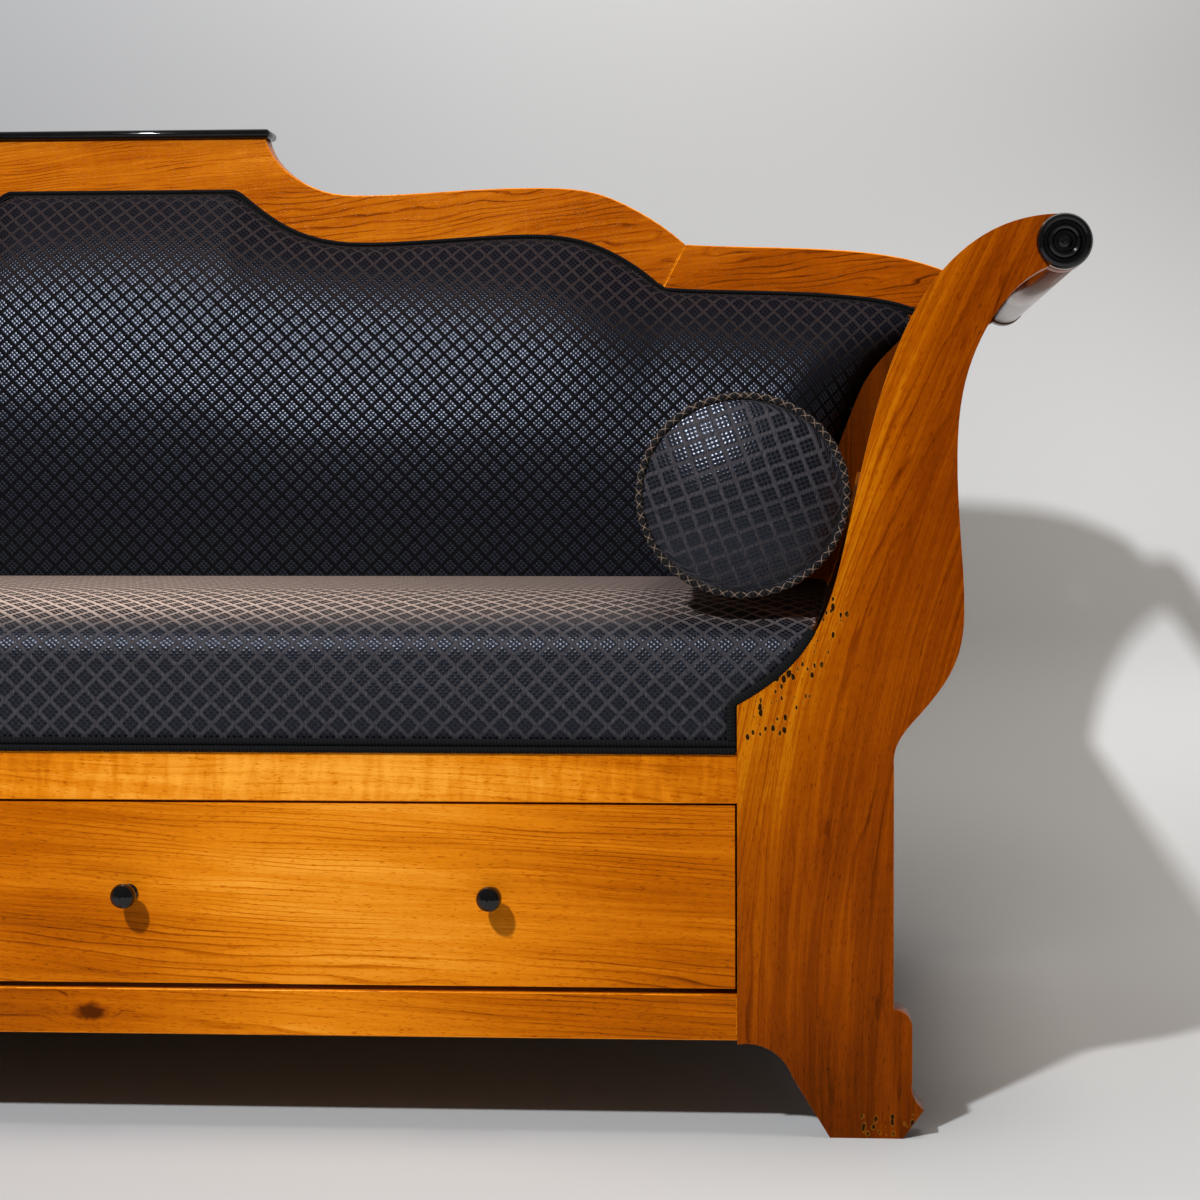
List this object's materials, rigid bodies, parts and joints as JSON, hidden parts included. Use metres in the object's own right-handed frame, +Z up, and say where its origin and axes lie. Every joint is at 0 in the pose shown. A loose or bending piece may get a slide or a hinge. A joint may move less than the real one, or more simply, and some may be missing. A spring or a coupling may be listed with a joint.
{
  "type": "biedermeier sofa",
  "caption": "Cherry sofa with scrolled arms, a stepped crest rail, padded seat and back in dark horsehair, loose bolsters and drawers under the seat.",
  "frame": {"origin": "on the floor, under the middle of the sofa's box", "axes": "+X along the seat to the sitter's left, +Y to the back, +Z up; the sofa faces -Y"},
  "size_m": [2.1108, 0.748, 0.971],
  "materials": {
    "cherry": "French-polished",
    "pine": "planed, unfinished",
    "ebonised": "black polish",
    "horsehair": "woven lattice",
    "braid": "black gimp",
    "cord": "twisted",
    "webbing": "jute tape",
    "lining": "plain black cotton"
  },
  "bodies": {
    "frame": {"arm_front_left": "cherry", "arm_front_right": "cherry", "arm_inner_panel_left": "cherry", "arm_inner_panel_right": "cherry", "arm_outer_panel_left": "cherry", "arm_outer_panel_right": "cherry", "arm_rear_left": "cherry", "arm_rear_right": "cherry", "arm_roll_left": "cherry", "arm_roll_right": "cherry", "arm_rosette_left": "ebonised", "arm_rosette_right": "ebonised", "back_braid": "braid", "back_lining": "lining", "back_muntin": "pine", "back_pad": "horsehair", "back_post_left": "pine", "back_post_right": "pine", "back_tacking_rail": "pine", "back_webbing": "webbing", "base_rail_back": "pine", "base_rail_front": "cherry", "case_back": "pine", "case_side_left": "pine", "case_side_right": "pine", "crest_cap": "ebonised", "crest_center": "cherry", "crest_left": "cherry", "crest_right": "cherry", "drawer_divider": "cherry", "drawer_stops": "pine", "glue_blocks": "pine", "runner_center": "pine", "runner_left": "pine", "runner_right": "pine", "seat_bearer": "pine", "seat_braid": "braid", "seat_pad": "horsehair", "seat_rail_back": "pine", "seat_rail_front": "cherry", "seat_rail_left": "pine", "seat_rail_right": "pine", "seat_webbing": "webbing"},
    "drawer_right": {"drawer_front_right": "cherry", "drawer_side_inner_right": "pine", "drawer_side_outer_right": "pine", "drawer_back_right": "pine", "drawer_bottom_right": "pine", "drawer_knobs_right": "ebonised"},
    "bolster_right": {"bolster_right": "horsehair", "bolster_cords_right": "cord"},
    "drawer_left": {"drawer_front_left": "cherry", "drawer_side_inner_left": "pine", "drawer_side_outer_left": "pine", "drawer_back_left": "pine", "drawer_bottom_left": "pine", "drawer_knobs_left": "ebonised"},
    "bolster_left": {"bolster_left": "horsehair", "bolster_cords_left": "cord"}
  },
  "joints": [
    {"name": "drawer_right_slide", "type": "slide", "parent": "frame", "child": "drawer_right", "axis": [0, -1, 0], "range_m": [0, 0.4]},
    {"name": "bolster_right_lift", "type": "slide", "parent": "frame", "child": "bolster_right", "axis": [0, 0, 1], "range_m": [0, 0.45]},
    {"name": "drawer_left_slide", "type": "slide", "parent": "frame", "child": "drawer_left", "axis": [0, -1, 0], "range_m": [0, 0.4]},
    {"name": "bolster_left_lift", "type": "slide", "parent": "frame", "child": "bolster_left", "axis": [0, 0, 1], "range_m": [0, 0.45]}
  ]
}
